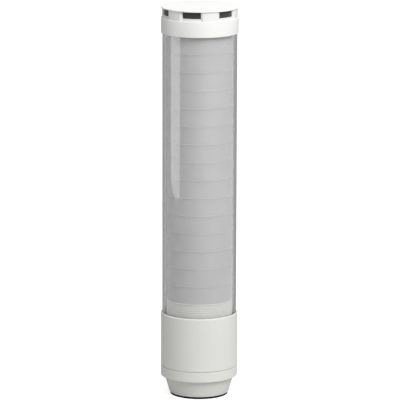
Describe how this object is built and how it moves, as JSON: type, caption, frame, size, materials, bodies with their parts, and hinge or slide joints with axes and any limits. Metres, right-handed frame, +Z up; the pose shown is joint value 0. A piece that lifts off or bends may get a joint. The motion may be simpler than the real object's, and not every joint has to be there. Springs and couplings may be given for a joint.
{
  "type": "stack light",
  "caption": "Column signal light: frosted light column in a clear tube between a sounder cap and a grey base drum on a bayonet foot with a gasket and cable entry.",
  "frame": {"origin": "middle of the underside of the foot gasket, where the light stands on its surface", "axes": "+Z up along the column; one sound outlet of the cap faces -Y"},
  "size_m": [0.0708, 0.0708, 0.3588],
  "materials": {
    "base_plastic": "warm light grey, fine satin moulding",
    "cap_plastic": "white, satin moulding",
    "black_rubber": "black, matt",
    "black_plastic": "black glass-filled moulding",
    "clear_lens": "clear, polished",
    "frosted_diffuser": "grey frosted, translucent",
    "green_board": "circuit board under green varnish",
    "white_board": "circuit board under white varnish",
    "led_package": "white package with clear window",
    "contact_brass": "plain, drawn strip",
    "zinc_steel": "bright zinc plated",
    "post_aluminium": "drawn, plain",
    "lead_film": "amber film lead",
    "mesh_cloth": "dark acoustic mesh"
  },
  "bodies": {
    "mount": {"foot_gasket": "black_rubber", "mounting_foot": "base_plastic", "foot_plate": "zinc_steel", "carrier_pillars": "zinc_steel", "rim_seal": "black_rubber", "bayonet_ring": "black_plastic", "contact_carrier": "black_plastic", "contact_pads": "contact_brass", "terminal_block": "black_plastic", "clamp_screws": "zinc_steel", "carrier_screws": "zinc_steel"},
    "tower": {"base_housing": "base_plastic", "lens_socket": "base_plastic", "cap_housing": "cap_plastic", "cap_lid": "cap_plastic", "lower_lens_seal": "black_rubber", "upper_lens_seal": "black_rubber", "column_plug": "black_plastic", "driver_chips": "black_plastic", "sounder_case": "black_plastic", "choke": "black_plastic", "lens_tube": "clear_lens", "segment_01": "frosted_diffuser", "segment_02": "frosted_diffuser", "segment_03": "frosted_diffuser", "segment_04": "frosted_diffuser", "segment_05": "frosted_diffuser", "segment_06": "frosted_diffuser", "segment_07": "frosted_diffuser", "segment_08": "frosted_diffuser", "segment_09": "frosted_diffuser", "segment_10": "frosted_diffuser", "segment_11": "frosted_diffuser", "segment_12": "frosted_diffuser", "segment_13": "frosted_diffuser", "segment_14": "frosted_diffuser", "segment_15": "frosted_diffuser", "control_board": "green_board", "sounder_board": "green_board", "light_board_1": "white_board", "light_board_2": "white_board", "light_board_3": "white_board", "leds_1": "led_package", "leds_2": "led_package", "leds_3": "led_package", "contact_springs": "contact_brass", "sounder_disc": "contact_brass", "board_screws": "zinc_steel", "socket_screws": "zinc_steel", "sounder_screws": "zinc_steel", "tie_rod": "zinc_steel", "rod_nuts": "zinc_steel", "rod_washers": "zinc_steel", "light_post": "post_aluminium", "capacitors": "post_aluminium", "column_lead": "lead_film", "sounder_lead": "lead_film", "acoustic_mesh": "mesh_cloth"}
  },
  "joints": [
    {"name": "bayonet_twist", "type": "hinge", "parent": "mount", "child": "tower", "pos_m": [0, 0, 0.02695], "axis": [0, 0, 1], "range_deg": [0, 30]}
  ]
}
